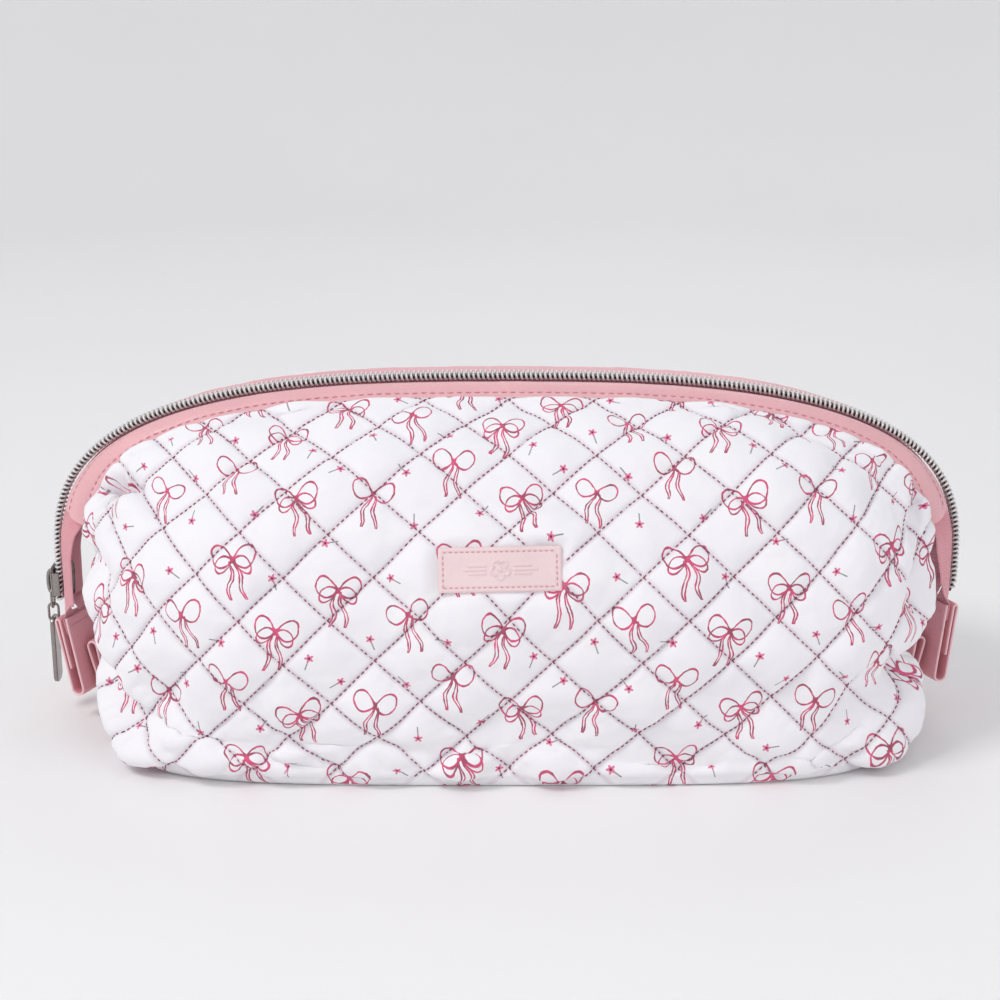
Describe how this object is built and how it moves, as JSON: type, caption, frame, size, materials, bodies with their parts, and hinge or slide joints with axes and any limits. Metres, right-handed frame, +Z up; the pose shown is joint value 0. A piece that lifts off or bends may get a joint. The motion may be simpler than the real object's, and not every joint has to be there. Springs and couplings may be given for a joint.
{
  "type": "makeup bag",
  "caption": "Soft quilted wide-mouth makeup bag with wire-framed zip mouth, folded end tabs, side loops and a chain pull.",
  "frame": {"origin": "centre of the base, on the surface the bag stands on", "axes": "+Z up, +X along the bag to its right end, -Y towards the labelled front"},
  "size_m": [0.2804, 0.127, 0.1085],
  "materials": {
    "quilted_cotton": "quilted cotton, small bow print",
    "lining": "plain woven",
    "band": "faux leather, satin",
    "strap": "faux leather, satin, painted edges",
    "label": "faux leather, embossed",
    "zip_tape": "woven tape",
    "zip_coil": "silvered nylon coil",
    "wire": "drawn",
    "slider_metal": "plated, polished"
  },
  "bodies": {
    "bag": {"outer_front_panel": "quilted_cotton", "outer_back_panel": "quilted_cotton", "base_panel": "quilted_cotton", "lining_front": "lining", "lining_back": "lining", "lining_base": "lining", "label": "label", "left_tail_tape_front": "zip_tape", "left_tail_tape_back": "zip_tape", "right_tail_tape_front": "zip_tape", "right_tail_tape_back": "zip_tape", "left_tail_coil_front": "zip_coil", "left_tail_coil_back": "zip_coil", "right_tail_coil_front": "zip_coil", "right_tail_coil_back": "zip_coil", "left_end_tab": "strap", "right_end_tab": "strap", "left_side_loop": "strap", "right_side_loop": "strap"},
    "front_frame": {"front_band": "band", "front_wire": "wire", "front_zip_tape": "zip_tape", "front_zip_coil": "zip_coil"},
    "back_frame": {"back_band": "band", "back_wire": "wire", "back_zip_tape": "zip_tape", "back_zip_coil": "zip_coil"},
    "slider": {"slider_body": "slider_metal"},
    "link_upper": {"link_upper": "slider_metal"},
    "link_lower": {"link_lower": "slider_metal"},
    "pull": {"pull_tab": "slider_metal"}
  },
  "joints": [
    {"name": "front_frame_open", "type": "hinge", "parent": "bag", "child": "front_frame", "pos_m": [0, 0, 0.064], "axis": [1, 0, 0], "range_deg": [0, 75], "deforming": ["outer_front_panel", "lining_front", "left_tail_tape_front", "right_tail_tape_front", "left_tail_coil_front", "right_tail_coil_front"]},
    {"name": "back_frame_open", "type": "hinge", "parent": "bag", "child": "back_frame", "pos_m": [0, 0, 0.064], "axis": [-1, 0, 0], "range_deg": [0, 75], "deforming": ["outer_back_panel", "lining_back", "left_tail_tape_back", "right_tail_tape_back", "left_tail_coil_back", "right_tail_coil_back"]},
    {"name": "slider_travel", "type": "slide", "parent": "bag", "child": "slider", "axis": [0, 0, 1], "range_m": [0, 0.01], "deforming": ["left_tail_coil_front", "left_tail_coil_back", "left_tail_tape_front", "left_tail_tape_back"]},
    {"name": "upper_link_swing", "type": "hinge", "parent": "slider", "child": "link_upper", "pos_m": [-0.14, 0, 0.0402], "axis": [0, 1, 0], "range_deg": [0, 120]},
    {"name": "lower_link_swing", "type": "hinge", "parent": "link_upper", "child": "link_lower", "pos_m": [-0.14, 0, 0.034], "axis": [0, 1, 0], "range_deg": [0, 35]},
    {"name": "pull_swing", "type": "hinge", "parent": "link_lower", "child": "pull", "pos_m": [-0.14, 0, 0.0293], "axis": [1, 0, 0], "range_deg": [-25, 25]}
  ]
}
